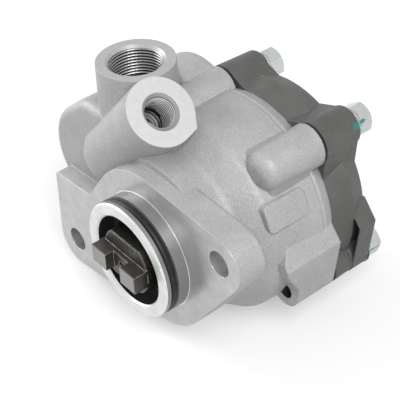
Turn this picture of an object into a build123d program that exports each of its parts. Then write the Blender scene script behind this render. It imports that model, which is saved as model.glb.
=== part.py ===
"""Engine-driven vane pump for a truck's power steering.

Lengths are in millimetres.  The origin is where the shaft axis meets the mounting face of the
flange.  +Y runs along the shaft to the rear cover, so the coupling end looks along -Y.
+Z is the axis of the suction port and +X completes the frame.
"""
import os
from math import acos, atan2, cos, degrees, hypot, radians, sin, sqrt

from build123d import *

# Clearances
RUN_GAP = 0.04          # radial clearance of a journal, a bore fit or a sliding vane
FACE_GAP = 0.3          # space between faces that pass each other
SEAT_GAP = 0.02         # space between pieces that sit against each other
CUT_SPARE = 1.0         # how far a cut runs past the face that it opens

# Chamber for the pump set
CHAMBER_R = 39.0
CHAMBER_Y0 = 31.0
SPRING_ROOM = 1.9       # space behind the rear plate for its disc spring
PLATE_T = 8.0
CAM_T = 22.0
DOWEL_R = 2.5
DOWEL_INSET = 5.0       # from the chamber's wall to the middle of a dowel pin
DOWEL_DEPTH = 4.0
DISC_SPRING_T = 1.0
DISC_SPRING_INSET = 3.0
DISC_SPRING_W = 10.0

# Mounting flange
FLANGE_T = 14.0
DISC_R = 38.3
RIGHT_HOLE = (48.9, 21.2)
LEFT_HOLE = (-60.7, -30.3)
FLANGE_HOLE_R = 6.0
RIGHT_EAR_R = 12.8
EAR_TOP_Z = 4.8
EAR_TOP_RISE = 0.7
EAR_LEFT_X = -71.5
EAR_LEFT_ROUND = 1.5
EAR_SHOULDER_ANGLE = 143.0
EAR_SHOULDER_STEP = 13.5
EAR_SHOULDER_ROUND = 5.0
EAR_FOOT_X = -75.6
EAR_FOOT_Z = -46.6
EAR_FOOT_R = 13.0

# Pilot
PILOT_R = 28.0
PILOT_H = 12.4
PILOT_BORE_R = 21.6
PILOT_EDGE = 0.8
GROOVE_Y0 = -9.9
GROOVE_W = 4.4
GROOVE_DEPTH = 3.84
PILOT_RING_R = 1.9      # radius of the O-ring's section

# Drum of the housing
DRUM_RISE = 2.2         # the round outside of the castings stands higher than the shaft
NECK_R = 39.5
NECK_END_Y = 21.0
NECK_ROUND = 6.0
DRUM_WALL = 10.2
DRUM_DRAFT = 1.2        # how much smaller the drum is at its front
DRUM_Y0 = 33.0
DRUM_Y1 = 60.0
DRUM_ROUND = 7.0
RIM_ROUND = 0.5
RIM_GROOVE = 0.6        # depth of the crease between the drum and the joint's rim
RIM_GROOVE_W = 0.9
JOINT_Y = 66.0
JOINT_LAND = 8.1        # from the chamber's wall to the edge of the joint

# Left lobe, drawn round three discs
LOBE_Y0 = 8.5
LOBE_Y1 = 62.0
LOBE_LOW = (-55.0, 15.0)
LOBE_LOW_R = 26.5
LOBE_HIGH = (-49.0, 28.0)
LOBE_HIGH_R = 20.1
LOBE_INNER = (-26.0, 27.0)
LOBE_INNER_R = 21.0
LOBE_ROUND = 4.0
LUMP = (-36.0, 30.5)
LUMP_R = 26.0
LUMP_Y0 = 46.0
LUMP_Y1 = 65.5

# Suction port, threaded M26 x 1.5
SUCTION_X = -35.8
SUCTION_Y = 28.0
SUCTION_TOP_Z = 69.3
SUCTION_R = 17.9
SUCTION_BASE_R = 19.4
SUCTION_BASE_Z = 20.0
SUCTION_THREAD_R = 12.2
SUCTION_MOUTH_R = 13.5
SUCTION_DEPTH = 15.5
SUCTION_DUCT_R = 6.5
SUCTION_DUCT_Y = 37.0
SUCTION_DUCT_RISE = 2.0     # how far the duct reaches up into the port
SUCTION_DUCT_SHIFT = 12.0   # towards the shaft at the duct's lower end
SUCTION_DUCT_END_Z = 22.0

# Pressure port, threaded M16 x 1.5, in line with the flow valve's bore
PORT_ANGLE = 44.0       # from +Z towards +X
PORT_X = -6.2
PORT_Y = 18.0
PORT_Z = 60.7
PORT_R = 15.8
PORT_MOUTH_R = 8.7
PORT_THREAD_R = 7.25
PORT_DEPTH = 17.0
VALVE_DOME_R = 12.0
VALVE_BORE_LENGTH = 61.0
VALVE_BORE_R = 7.0
VALVE_END_WALL = 5.0
VALVE_END_CONE = 3.0
VALVE_END_CONE_DEPTH = 2.0
RIB_EDGE_R = 0.8        # rib down the side of the port's boss
RIB_PLACE = (10.5, -12.6)
RIB_LENGTH = 24.0

# Passages between the chamber and the valve's bore
OUTLET_DUCT_R = 3.0
OUTLET_DUCT_PLACE = (-16.0, 33.0)
OUTLET_DUCT_S = 26.0
BYPASS_R = 3.0
BYPASS_S = 32.0

# Cover bolts, M8 with a flanged hexagon head: (space outside the chamber's wall, angle from +X to +Z)
BOLT_SPOTS = ((11.1, 116.0), (14.3, 50.0), (9.5, -126.0))
LUG_SPOT = (8.8, -29.2)
BOLT_R = 4.0
BOLT_TIP_Y = 46.0
BOLT_TIP_CHAMFER = 0.8
BOLT_HOLE_SPARE = 1.0
BOLT_SEAT_Y = 87.0
BOLT_FLANGE_R = 8.6
BOLT_FLANGE_T = 1.6
BOLT_HEX = 13.0
BOLT_HEAD_H = 9.5
BOLT_TURNS = (39.0, 31.0, 22.0, 10.0)   # how each head happens to stand
BOLT_CROWN_DROP = 1.6
BOLT_CROWN_INSET = 0.3
BOSS_R = 10.2
BOSS_TIP_R = 9.0
BOSS_Y0 = 33.5
BOSS_DOME_R = 6.5
BOSS_RELIEF = 1.6       # the bosses stop short of the joint
BOSS_WEB_REACH = 14.0   # from the bolt towards the shaft
BOSS_WEB_FLARE = 5.0
BOSS_WEB_Y0 = 37.0
BOSS_WEB_ROUND = 3.0

# Square-sided lug round the lower right bolt
LUG_R = 8.1
LUG_EDGE_R = 1.0
LUG_TIP = (3.8, -1.35)  # x from the drum's surface, and z
LUG_TOP = (-2.8, 7.45)
LUG_Y0 = 42.0
LUG_SLOPE_Z = -18.0
LUG_RIDGE_Y0 = 33.0
LUG_RIDGE_Z0 = -3.0
LUG_RIDGE_Z1 = 1.0
LUG_RIDGE_SLOPE_Y = 39.0

# Raised pad on the drum's right side
PAD_Y0 = 30.5
PAD_Y1 = 53.0
PAD_Z0 = 17.0
PAD_Z1 = 29.0
PAD_ROUND = 3.0
PAD_SHIFT = (-0.8, 2.2)     # how far the pad's face is moved from the drum's

# Rear cover
COVER_PART_Y = 76.6     # parting line of the casting
COVER_BEAD = 0.35
COVER_FLARE = 3.1       # growth from the joint to the parting line
COVER_END_Y = 86.6
COVER_END_STEP = 0.9
COVER_END_ROUND = 1.5
COVER_BOSS_R = 10.0
COVER_BOSS_DRAFT = 0.7
COVER_BOSS_ROUND = 1.2
COVER_WEB_REACH = 20.0
COVER_WEB_FLARES = (13.0, 10.5, 10.5)
COVER_WEB_Y1 = 86.2
COVER_WEB_ROUND = 1.5
COVER_HOLE_R = 4.5
BLOCK_Y1 = 86.8
BLOCK_ROUND = 0.9
POCKET_WALL = 0.8
POCKET_DEPTH = 8.0
POCKET_FLOOR = 2.0      # how far the pocket eats into the cover's round body

# Rotor and vanes
ROTOR_R = 24.0
ROTOR_SIDE_GAP = 0.05
CAM_MINOR_R = 24.6
CAM_MAJOR_R = 28.6
CAM_NOTCH_W = 12.0
CAM_NOTCH_DEPTH = 4.0
VANE_COUNT = 10
VANE_T = 1.8
VANE_LENGTH = 10.0
VANE_TRAVEL = 2.0
VANE_TIP_GAP = 0.3
VANE_TIP_FLAT = 0.1     # half width of the flat left on a vane's tip
SLOT_ROOT_R = 1.6
KIDNEY_PITCH_R = 22.5
KIDNEY_W = 5.0
KIDNEY_ARC = 44.0

# Shaft
SHAFT_R = 10.0
SHAFT_NECK_R = 8.5
SHAFT_REAR_R = 7.5
SHAFT_NOSE_R = 8.5
SHAFT_NOSE_Y = -10.0
SHAFT_NOSE_FLAT = 6.5
SHAFT_END_CHAMFER = 0.8
SHAFT_BORE_R = 11.5
SHAFT_BORE_STEP = 4.0
SHAFT_BORE_STEP_T = 2.0
DRIVE_FLAT = 7.0        # half width across the flats that drive the rotor
CLIP_T = 1.4
CLIP_W = 3.0
CLIP_DEPTH = 1.2
CLIP_MOUTH = 3.0
CLIP_SHOULDER = 1.5     # shaft left beyond a clip's groove
CLIP_ROOM = 1.5

# Front bearing, 20 x 42 x 12
BEARING_R = 21.0
BEARING_Y0 = 6.5
BEARING_T = 12.0
BEARING_LEAD = 0.6
RACE_T = 3.1
BALL_R = 3.6
BALL_COUNT = 9
CAGE_T = 1.6
CAGE_WIDTH = 9.2

# Shaft seal and retaining ring
SEAL_Y0 = -1.5
SEAL_T = 6.5
SEAL_CASE_T = 1.0
SEAL_CASE_LIP = 4.0
SEAL_LIP_T = 2.2
SEAL_LIP_REACH = 5.0
SEAL_LIP_SLOPE = 2.0
SEAL_LIP_LAND = 1.5
RING_T = 1.6
RING_GROOVE = 1.4
RING_INNER_R = 18.4
RING_MOUTH = 20.0       # half angle of the retaining ring's opening
RING_EYE_R = 2.0
RING_EYE_HOLE_R = 0.9
RING_EYE_OFFSET = 1.4
RING_EYE_ANGLE = 6.0

# Rear needle bush
BUSH_BACK_GAP = 2.1     # wall between the chamber and the bush
BUSH_T = 11.0
BUSH_WALL = 2.5
SHAFT_IN_BUSH = 9.0

# Coupling driver
HUB_R = 15.5
HUB_FLAT = 12.0
HUB_Y0 = -13.0
HUB_Y1 = -4.6
HUB_CHAMFER = 0.5
TANG_TIP_Y = -20.0
TANG_HALF_T = 4.5
TANG_HALF_L = 15.2
TANG_CHAMFER = 0.4
NOTCH_HALF = 5.2
NOTCH_DEPTH = 4.6
CENTRE_HOLE_R = 1.3
DRIVER_TURN = 2.5       # the photographed angle of the tang, in degrees

# Flow control valve, measured along its axis from the port's face
SLEEVE_S0 = 19.0
SLEEVE_T = 6.0
SLEEVE_CONE_T = 3.0
SLEEVE_ORIFICE_R = 2.6
SLEEVE_CONE_R = 5.4
SLEEVE_RING_R = 0.8     # radius of the wire ring that keeps the sleeve in
SLEEVE_RING_INSET = 0.2
SLEEVE_RING_GROOVE = 0.9
SPOOL_S0 = 27.0
SPOOL_LENGTH = 18.0
SPOOL_NOSE = 1.5
SPOOL_GROOVES = (6.0, 11.0)
SPOOL_GROOVE_HALF = 1.0
SPOOL_WAIST_R = 5.9
SPOOL_CUP_R = 4.9
SPOOL_CUP_DEPTH = 9.0
SPRING_R = 4.1
SPRING_WIRE_R = 0.6
SPRING_TURNS = 7
SPRING_END_SPARE = 0.85

# Sealing ring of the joint
COVER_RING_INSET = 2.4
COVER_RING_SECTION_R = 1.0
COVER_GLAND_W = 2.3
COVER_GLAND_DEPTH = 2.1

# Sizes that follow from the ones above
DRUM_R = CHAMBER_R + DRUM_WALL
JOINT_R = CHAMBER_R + JOINT_LAND
COVER_RING_R = CHAMBER_R + COVER_RING_INSET
DOWEL_PCD_R = CHAMBER_R - DOWEL_INSET
CAM_Y0 = CHAMBER_Y0 + PLATE_T
CAM_Y1 = CAM_Y0 + CAM_T
REAR_PLATE_Y1 = CAM_Y1 + PLATE_T
CHAMBER_Y1 = REAR_PLATE_Y1 + SPRING_ROOM
BUSH_Y0 = CHAMBER_Y1 + BUSH_BACK_GAP
BUSH_Y1 = BUSH_Y0 + BUSH_T
SHAFT_END_Y = BUSH_Y0 + SHAFT_IN_BUSH
DOWEL_Y0 = CHAMBER_Y0 - DOWEL_DEPTH
DOWEL_Y1 = CAM_Y1 + DOWEL_DEPTH
BEARING_Y1 = BEARING_Y0 + BEARING_T
BALL_RING_R = (SHAFT_R + BEARING_R) / 2
BALL_Y = BEARING_Y0 + BEARING_T / 2
CLIP_Y = BEARING_Y1 + SEAT_GAP
BOSS_END_Y = JOINT_Y - BOSS_RELIEF
COVER_R = JOINT_R + COVER_FLARE
COVER_END_R = JOINT_R - COVER_END_STEP
SPOOL_CUP_S0 = SPOOL_S0 + SPOOL_CUP_DEPTH
SPOOL_S1 = SPOOL_S0 + SPOOL_LENGTH
SPRING_END_S = VALVE_BORE_LENGTH - SPRING_END_SPARE


os.makedirs("parts", exist_ok=True)


def put(solid, node):
    """Write one sub-part under its node's name."""
    solid.label = node
    export_step(solid, os.path.join("parts", node + ".step"))


def rod(radius, y0, y1, x=0.0, z=0.0):
    """A round bar parallel to the shaft, from y0 to y1."""
    bar = Cylinder(radius, y1 - y0, align=(Align.CENTER, Align.CENTER, Align.MIN))
    return Pos(x, y0, z) * Rot(-90, 0, 0) * bar


def link(radius, start, end):
    """A round passage between two points."""
    run = Vector(*end) - Vector(*start)
    bar = Cylinder(radius, run.length, align=(Align.CENTER, Align.CENTER, Align.MIN))
    return Plane(origin=start, z_dir=run) * bar


def turned(points):
    """A body of revolution about the shaft axis, from (radius, y) points."""
    return revolve(make_face(Polyline(*points, close=True)), Axis.Y)


def rounded_turned(corners):
    """A body of revolution about the shaft axis, from (radius, y, rounding) corners."""
    points = [(r, y) for r, y, _ in corners]
    rounds = [rounding for _, _, rounding in corners]
    return revolve(make_face(FilletPolyline(*points, radius=rounds, close=True)), Axis.Y)


def tube(outer, inner, y0, y1):
    """A plain ring about the shaft axis."""
    return turned([(inner, y0), (outer, y0), (outer, y1), (inner, y1)])


def across(sketch, y0, y1):
    """Extrude a section, drawn as (x, z), along the shaft from y0 to y1."""
    lying = Pos(0, y0, 0) * Rot(90, 0, 0) * sketch
    return extrude(lying, amount=y1 - y0, dir=(0, 1, 0))


def sideways(sketch):
    """Extrude a section, drawn as (y, z), from the shaft's plane out past the drum."""
    return extrude(Plane.YZ * sketch, amount=DRUM_R * 2)


def spot(radius, place):
    """A disc in the section plane."""
    return Pos(place[0], place[1]) * Circle(radius)


def hull(*discs):
    """The outline that a belt makes round some discs, each (radius, place)."""
    edges = []
    for radius, place in discs:
        edges += spot(radius, place).edges()
    return make_hull(edges)


def polar(radius, angle):
    """The (x, z) of a point at an angle from +X towards +Z."""
    return radius * cos(radians(angle)), radius * sin(radians(angle))


def fillet_ends(body, radius):
    """Round the edges that lie across the shaft at both ends of an extrusion."""
    ends = body.edges().filter_by(lambda e: abs(e.bounding_box().size.Y) < 1e-4)
    return fillet(ends, radius)


PORT_DIR = Vector(sin(radians(PORT_ANGLE)), 0, cos(radians(PORT_ANGLE)))
PORT_FACE = Vector(PORT_X, PORT_Y, PORT_Z)
FREE_BOLTS = [polar(CHAMBER_R + space, angle) for space, angle in BOLT_SPOTS]
LUG_BOLT = polar(CHAMBER_R + LUG_SPOT[0], LUG_SPOT[1])
BOLTS = FREE_BOLTS + [LUG_BOLT]
DOWELS = [polar(DOWEL_PCD_R, 90), polar(DOWEL_PCD_R, 270)]


def port_frame(depth):
    """The place at a depth below the pressure port's face, with Z pointing out of the port."""
    plane = Plane(origin=PORT_FACE - PORT_DIR * depth, x_dir=(0, 1, 0), z_dir=PORT_DIR)
    return plane.location


def port_turned(points):
    """A body of revolution about the port's axis, from (radius, depth) points."""
    profile = make_face(Polyline(*[(r, -depth) for r, depth in points], close=True))
    return port_frame(0) * revolve(Rot(90, 0, 0) * profile, Axis.Z)


def flange():
    """Disc with a tangent right ear and a squarer left ear."""
    right = hull((DISC_R, (0, 0)), (RIGHT_EAR_R, RIGHT_HOLE))
    reach = hypot(EAR_FOOT_X, EAR_FOOT_Z)
    foot_angle = degrees(atan2(EAR_FOOT_Z, EAR_FOOT_X)) % 360
    touch = polar(DISC_R, foot_angle + degrees(acos(DISC_R / reach)))
    shoulder = polar(DISC_R, EAR_SHOULDER_ANGLE)
    inner_corner = (shoulder[0] - EAR_SHOULDER_STEP, EAR_TOP_Z + EAR_TOP_RISE)
    left = make_face(FilletPolyline(
        (EAR_LEFT_X, EAR_TOP_Z), inner_corner, shoulder, (0, 0), touch, (EAR_FOOT_X, EAR_FOOT_Z),
        radius=[EAR_LEFT_ROUND, EAR_SHOULDER_ROUND, 0, 0, 0, EAR_FOOT_R], close=True))
    return across(Circle(DISC_R) + right + left, 0, FLANGE_T)


def drum():
    """Neck, shoulder and barrel behind the flange, with the rim rounded down to the joint."""
    start = FLANGE_T / 2
    return Pos(0, 0, DRUM_RISE) * rounded_turned([
        (0, start, 0), (NECK_R, start, 0), (NECK_R, NECK_END_Y, NECK_ROUND),
        (DRUM_R - DRUM_DRAFT, DRUM_Y0, DRUM_ROUND), (DRUM_R, DRUM_Y1 - RIM_GROOVE_W, RIM_ROUND),
        (DRUM_R - RIM_GROOVE, DRUM_Y1, RIM_ROUND), (DRUM_R, DRUM_Y1 + RIM_GROOVE_W, RIM_ROUND),
        (JOINT_R, JOINT_Y, 0), (0, JOINT_Y, 0)])


def lobe():
    """The casting round the flow valve's lower end, and the lump over the suction duct."""
    outline = hull((LOBE_LOW_R, LOBE_LOW), (LOBE_HIGH_R, LOBE_HIGH), (LOBE_INNER_R, LOBE_INNER))
    body = fillet_ends(across(outline, LOBE_Y0, LOBE_Y1), LOBE_ROUND)
    lump = fillet_ends(across(spot(LUMP_R, LUMP), LUMP_Y0, LUMP_Y1), LOBE_ROUND)
    return body + lump


def suction_boss():
    """Drafted boss that stands up from the lobe."""
    height = SUCTION_TOP_Z - SUCTION_BASE_Z
    boss = Cone(SUCTION_BASE_R, SUCTION_R, height, align=(Align.CENTER, Align.CENTER, Align.MIN))
    return Pos(SUCTION_X, SUCTION_Y, SUCTION_BASE_Z) * boss


def valve_boss():
    """Round boss along the flow valve's bore, with a domed lower end and a rib down its side."""
    length = VALVE_BORE_LENGTH + VALVE_END_WALL
    bar = Cylinder(PORT_R, length, align=(Align.CENTER, Align.CENTER, Align.MIN))
    low = bar.edges().sort_by(Axis.Z)[0]
    rib = extrude(hull((PORT_R, (0, 0)), (RIB_EDGE_R, RIB_PLACE)), amount=RIB_LENGTH)
    return port_frame(length) * fillet(low, VALVE_DOME_R) + port_frame(RIB_LENGTH) * rib


def web_outline(place, radius, reach, flare):
    """Section of a boss whose sides spread out towards the shaft."""
    inward = 1 - reach / hypot(*place)
    return hull((radius, place), (radius + flare, (place[0] * inward, place[1] * inward)))


def bolt_boss(place):
    """Tapered boss along one bolt, with a domed front and a foot that spreads on the drum."""
    boss = Cone(BOSS_TIP_R, BOSS_R, BOSS_END_Y - BOSS_Y0, align=(Align.CENTER, Align.CENTER, Align.MIN))
    tip = boss.edges().sort_by(Axis.Z)[0]
    foot = web_outline(place, BOSS_TIP_R, BOSS_WEB_REACH, BOSS_WEB_FLARE)
    return (Pos(place[0], BOSS_Y0, place[1]) * Rot(-90, 0, 0) * fillet(tip, BOSS_DOME_R)
            + fillet_ends(across(foot, BOSS_WEB_Y0, DRUM_Y1), BOSS_WEB_ROUND))


def lug_outline():
    """Section of the lug, whose straight outer wall runs into the round of its bolt."""
    tip = (DRUM_R + LUG_TIP[0], LUG_TIP[1])
    top = (DRUM_R + LUG_TOP[0], LUG_TOP[1])
    return hull((LUG_R, LUG_BOLT), (LUG_EDGE_R, tip), (LUG_EDGE_R, top))


def lug():
    """Square-sided lug with a ridge that runs ahead of it along the drum."""
    block = across(lug_outline(), LUG_RIDGE_Y0, BOSS_END_Y)
    side = make_face(Polyline(
        (LUG_RIDGE_SLOPE_Y, LUG_TOP[1] + LUG_EDGE_R), (LUG_RIDGE_Y0, LUG_RIDGE_Z1),
        (LUG_RIDGE_Y0, LUG_RIDGE_Z0), (LUG_Y0, LUG_SLOPE_Z), (LUG_Y0, -DRUM_R), (BOSS_END_Y, -DRUM_R),
        (BOSS_END_Y, LUG_TOP[1] + LUG_EDGE_R), close=True))
    return block & sideways(side)


def side_pad():
    """Raised pad on the right side of the drum."""
    middle = Pos((PAD_Y0 + PAD_Y1) / 2, (PAD_Z0 + PAD_Z1) / 2)
    outline = middle * RectangleRounded(PAD_Y1 - PAD_Y0, PAD_Z1 - PAD_Z0, PAD_ROUND)
    return sideways(outline) & rod(DRUM_R, PAD_Y0, PAD_Y1, PAD_SHIFT[0], DRUM_RISE + PAD_SHIFT[1])


def chamber_cut():
    """The bores on the shaft axis, front to back."""
    step_r = SHAFT_BORE_R + SHAFT_BORE_STEP
    step_y = BEARING_Y1 + SHAFT_BORE_STEP_T
    seal_y1 = SEAL_Y0 + SEAL_T
    front = -PILOT_H - CUT_SPARE
    ring_r = PILOT_BORE_R + RING_GROOVE
    return turned([
        (0, front), (PILOT_BORE_R + PILOT_EDGE + CUT_SPARE, front), (PILOT_BORE_R, -PILOT_H + PILOT_EDGE),
        (PILOT_BORE_R, SEAL_Y0 - RING_T), (ring_r, SEAL_Y0 - RING_T), (ring_r, SEAL_Y0),
        (PILOT_BORE_R, SEAL_Y0), (PILOT_BORE_R, seal_y1), (BEARING_R, seal_y1 + BEARING_LEAD),
        (BEARING_R, BEARING_Y1), (step_r, BEARING_Y1), (step_r, step_y),
        (SHAFT_BORE_R, step_y + SHAFT_BORE_STEP_T), (SHAFT_BORE_R, CHAMBER_Y0), (CHAMBER_R, CHAMBER_Y0),
        (CHAMBER_R, JOINT_Y + CUT_SPARE), (0, JOINT_Y + CUT_SPARE)])


def suction_cut():
    """The suction port's bore and the duct from it down into the chamber."""
    floor_z = SUCTION_TOP_Z - SUCTION_DEPTH
    bore = Pos(SUCTION_X, SUCTION_Y, floor_z) * Cylinder(
        SUCTION_THREAD_R, SUCTION_DEPTH + CUT_SPARE, align=(Align.CENTER, Align.CENTER, Align.MIN))
    mouth = Pos(SUCTION_X, SUCTION_Y, SUCTION_TOP_Z) * Cone(
        SUCTION_THREAD_R, SUCTION_MOUTH_R, SUCTION_MOUTH_R - SUCTION_THREAD_R,
        align=(Align.CENTER, Align.CENTER, Align.MAX))
    duct = link(SUCTION_DUCT_R, (SUCTION_X, SUCTION_DUCT_Y, floor_z + SUCTION_DUCT_RISE),
                (SUCTION_X + SUCTION_DUCT_SHIFT, SUCTION_DUCT_Y, SUCTION_DUCT_END_Z))
    return bore + mouth + duct


def valve_cut():
    """The pressure port, the valve's bore behind it and the bore's two passages."""
    groove = VALVE_BORE_R + SLEEVE_RING_GROOVE
    bore = port_turned([
        (0, -CUT_SPARE), (PORT_MOUTH_R + CUT_SPARE, -CUT_SPARE), (PORT_MOUTH_R, 0),
        (PORT_THREAD_R, PORT_MOUTH_R - PORT_THREAD_R), (PORT_THREAD_R, PORT_DEPTH), (groove, PORT_DEPTH),
        (groove, SLEEVE_S0), (VALVE_BORE_R, SLEEVE_S0),
        (VALVE_BORE_R, VALVE_BORE_LENGTH - VALVE_END_CONE_DEPTH),
        (VALVE_BORE_R - VALVE_END_CONE, VALVE_BORE_LENGTH), (0, VALVE_BORE_LENGTH)])
    outlet_x, outlet_z = OUTLET_DUCT_PLACE
    outlet = link(OUTLET_DUCT_R, (outlet_x, CHAMBER_Y0 + CUT_SPARE, outlet_z),
                  PORT_FACE - PORT_DIR * OUTLET_DUCT_S)
    bypass = PORT_FACE - PORT_DIR * BYPASS_S
    return bore + outlet + rod(BYPASS_R, PORT_Y, SUCTION_DUCT_Y, bypass.X, bypass.Z)


def make_housing():
    """The whole casting, then its machined faces and bores."""
    body = flange() + drum() + lobe() + suction_boss() + valve_boss()
    for place in FREE_BOLTS:
        body += bolt_boss(place)
    body += lug() + side_pad()
    body += rod(PILOT_R, -PILOT_H, 0)
    front = [e for e in body.edges().filter_by(GeomType.CIRCLE)
             if abs(e.radius - PILOT_R) < 0.01 and abs(e.arc_center.Y + PILOT_H) < 0.01]
    body = chamfer(front, PILOT_EDGE)
    body -= tube(PILOT_R + CUT_SPARE, PILOT_R - GROOVE_DEPTH, GROOVE_Y0, GROOVE_Y0 + GROOVE_W)
    body -= chamber_cut()
    for x, z in (RIGHT_HOLE, LEFT_HOLE):
        body -= rod(FLANGE_HOLE_R, -CUT_SPARE, FLANGE_T + CUT_SPARE, x, z)
    for x, z in FREE_BOLTS:
        body -= rod(BOLT_R + SEAT_GAP, BOLT_TIP_Y - BOLT_HOLE_SPARE, JOINT_Y + CUT_SPARE, x, z)
    body -= rod(BOLT_R + SEAT_GAP, LUG_Y0 - CUT_SPARE, JOINT_Y + CUT_SPARE, *LUG_BOLT)
    for x, z in DOWELS:
        body -= rod(DOWEL_R + SEAT_GAP, DOWEL_Y0, CHAMBER_Y0 + CUT_SPARE, x, z)
    return body - suction_cut() - valve_cut()


def cover_boss(place, radius):
    """Drafted boss for one bolt, with a rounded end."""
    boss = rounded_turned([
        (0, JOINT_Y, 0), (radius, JOINT_Y, 0), (radius - COVER_BOSS_DRAFT, BOLT_SEAT_Y, COVER_BOSS_ROUND),
        (0, BOLT_SEAT_Y, 0)])
    return Pos(place[0], 0, place[1]) * boss


def cover_web(place, flare):
    """Foot of one boss, which spreads out over the cover's body."""
    foot = across(web_outline(place, COVER_BOSS_R - COVER_BOSS_DRAFT, COVER_WEB_REACH, flare), JOINT_Y,
                  COVER_WEB_Y1)
    return fillet(foot.edges().group_by(Axis.Y)[-1], COVER_WEB_ROUND)


def cover_block():
    """Squared block behind the parting line, in line with the lug."""
    block = across(lug_outline(), COVER_PART_Y, BLOCK_Y1)
    return fillet(block.edges().group_by(Axis.Y)[-1], BLOCK_ROUND)


def cover_pocket():
    """Pocket in the front of the block, between the bolt's boss and the round body."""
    outline = offset(lug_outline(), -POCKET_WALL)
    outline -= spot(COVER_R - POCKET_FLOOR, (0, DRUM_RISE)) + spot(LUG_R, LUG_BOLT)
    return across(outline, COVER_PART_Y - COVER_BEAD, COVER_PART_Y + POCKET_DEPTH)


def rear_cover():
    """Cast cover with four bolt bosses, the bush's pocket and the joint ring's gland."""
    body = Pos(0, 0, DRUM_RISE) * rounded_turned([
        (0, JOINT_Y, 0), (JOINT_R, JOINT_Y, 0), (COVER_R, COVER_PART_Y - COVER_BEAD, 0),
        (COVER_R + COVER_BEAD, COVER_PART_Y, 0), (COVER_R, COVER_PART_Y + COVER_BEAD, 0),
        (COVER_END_R, COVER_END_Y, COVER_END_ROUND), (0, COVER_END_Y, 0)])
    for place, flare in zip(FREE_BOLTS, COVER_WEB_FLARES):
        body += cover_boss(place, COVER_BOSS_R) + cover_web(place, flare)
    body += cover_block()
    body -= cover_pocket()
    body += cover_boss(LUG_BOLT, LUG_R)
    for x, z in BOLTS:
        body -= rod(COVER_HOLE_R, JOINT_Y - CUT_SPARE, BOLT_SEAT_Y + CUT_SPARE, x, z)
    gland = COVER_GLAND_W / 2
    body -= tube(COVER_RING_R + gland, COVER_RING_R - gland, JOINT_Y - CUT_SPARE,
                 JOINT_Y + COVER_GLAND_DEPTH)
    bush = SHAFT_REAR_R + RUN_GAP + BUSH_WALL + SEAT_GAP
    return body - turned([
        (0, JOINT_Y - CUT_SPARE), (CHAMBER_R, JOINT_Y - CUT_SPARE), (CHAMBER_R, CHAMBER_Y1),
        (bush, CHAMBER_Y1), (bush, BUSH_Y1), (0, BUSH_Y1)])


def cover_bolts():
    """Four flanged hexagon bolts."""
    half_hex = BOLT_HEX / 2
    corner_r = BOLT_HEX / sqrt(3) + CUT_SPARE
    collar_y = BOLT_SEAT_Y + BOLT_FLANGE_T
    top = BOLT_SEAT_Y + BOLT_HEAD_H
    shank = rod(BOLT_R, BOLT_TIP_Y, collar_y)
    shank = chamfer(shank.edges().filter_by(GeomType.CIRCLE).sort_by(Axis.Y)[0], BOLT_TIP_CHAMFER)
    collar = turned([(0, BOLT_SEAT_Y), (BOLT_FLANGE_R, BOLT_SEAT_Y),
                     (half_hex, BOLT_SEAT_Y + BOLT_FLANGE_T * 2), (0, BOLT_SEAT_Y + BOLT_FLANGE_T * 2)])
    crown = turned([(0, BOLT_SEAT_Y), (corner_r, BOLT_SEAT_Y), (corner_r, top - BOLT_CROWN_DROP),
                    (half_hex - BOLT_CROWN_INSET, top), (0, top)])
    head = across(RegularPolygon(half_hex, 6, major_radius=False), collar_y, top) & crown
    bolt = shank + collar + head
    return Compound([Pos(x, 0, z) * Rot(0, -turn, 0) * bolt for (x, z), turn in zip(BOLTS, BOLT_TURNS)])


def ring_of_section(major, radius, y):
    """A round-section ring about the shaft axis."""
    return Pos(0, y, 0) * Rot(-90, 0, 0) * Torus(major, radius)


def retaining_ring():
    """Open internal ring with two lugs at its mouth."""
    outer = PILOT_BORE_R + RING_GROOVE - SEAT_GAP
    ring = Circle(outer) - Circle(RING_INNER_R)
    ring -= make_face(Polyline(
        (0, 0), polar(outer * 2, 270 - RING_MOUTH), polar(outer * 2, 270 + RING_MOUTH), close=True))
    for side in (-1, 1):
        place = polar(RING_INNER_R + RING_EYE_OFFSET, 270 + side * (RING_MOUTH + RING_EYE_ANGLE))
        ring += spot(RING_EYE_R, place)
        ring -= spot(RING_EYE_HOLE_R, place)
    return across(ring, SEAL_Y0 - RING_T + SEAT_GAP, SEAL_Y0 - SEAT_GAP)


def seal_case():
    """Pressed steel cup of the shaft seal."""
    outer = PILOT_BORE_R - SEAT_GAP
    inner = SHAFT_R + SEAL_CASE_LIP
    return turned([
        (inner, SEAL_Y0), (outer, SEAL_Y0), (outer, SEAL_Y0 + SEAL_T),
        (outer - SEAL_CASE_T, SEAL_Y0 + SEAL_T), (outer - SEAL_CASE_T, SEAL_Y0 + SEAL_CASE_T),
        (inner, SEAL_Y0 + SEAL_CASE_T)])


def seal_lip():
    """Rubber body of the shaft seal, with its lip on the shaft."""
    outer = PILOT_BORE_R - SEAT_GAP * 2 - SEAL_CASE_T
    inner = SHAFT_R + RUN_GAP
    y0 = SEAL_Y0 + SEAL_CASE_T + SEAT_GAP
    y1 = SEAL_Y0 + SEAL_T
    return turned([
        (inner, y0 + SEAL_LIP_SLOPE), (inner + SEAL_LIP_T, y0), (outer, y0), (outer, y0 + SEAL_LIP_T),
        (inner + SEAL_LIP_REACH, y0 + SEAL_LIP_T), (inner + SEAL_LIP_T, y1), (inner, y1 - SEAL_LIP_LAND)])


def race(inner, outer):
    """One bearing race, with its half of the ball track."""
    blank = tube(outer, inner, BEARING_Y0, BEARING_Y1)
    return blank - ring_of_section(BALL_RING_R, BALL_R + RUN_GAP, BALL_Y)


def ball_places():
    """The (x, z) of every ball's centre."""
    step = 360 / BALL_COUNT
    return [polar(BALL_RING_R, 90 + step * index) for index in range(BALL_COUNT)]


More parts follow.
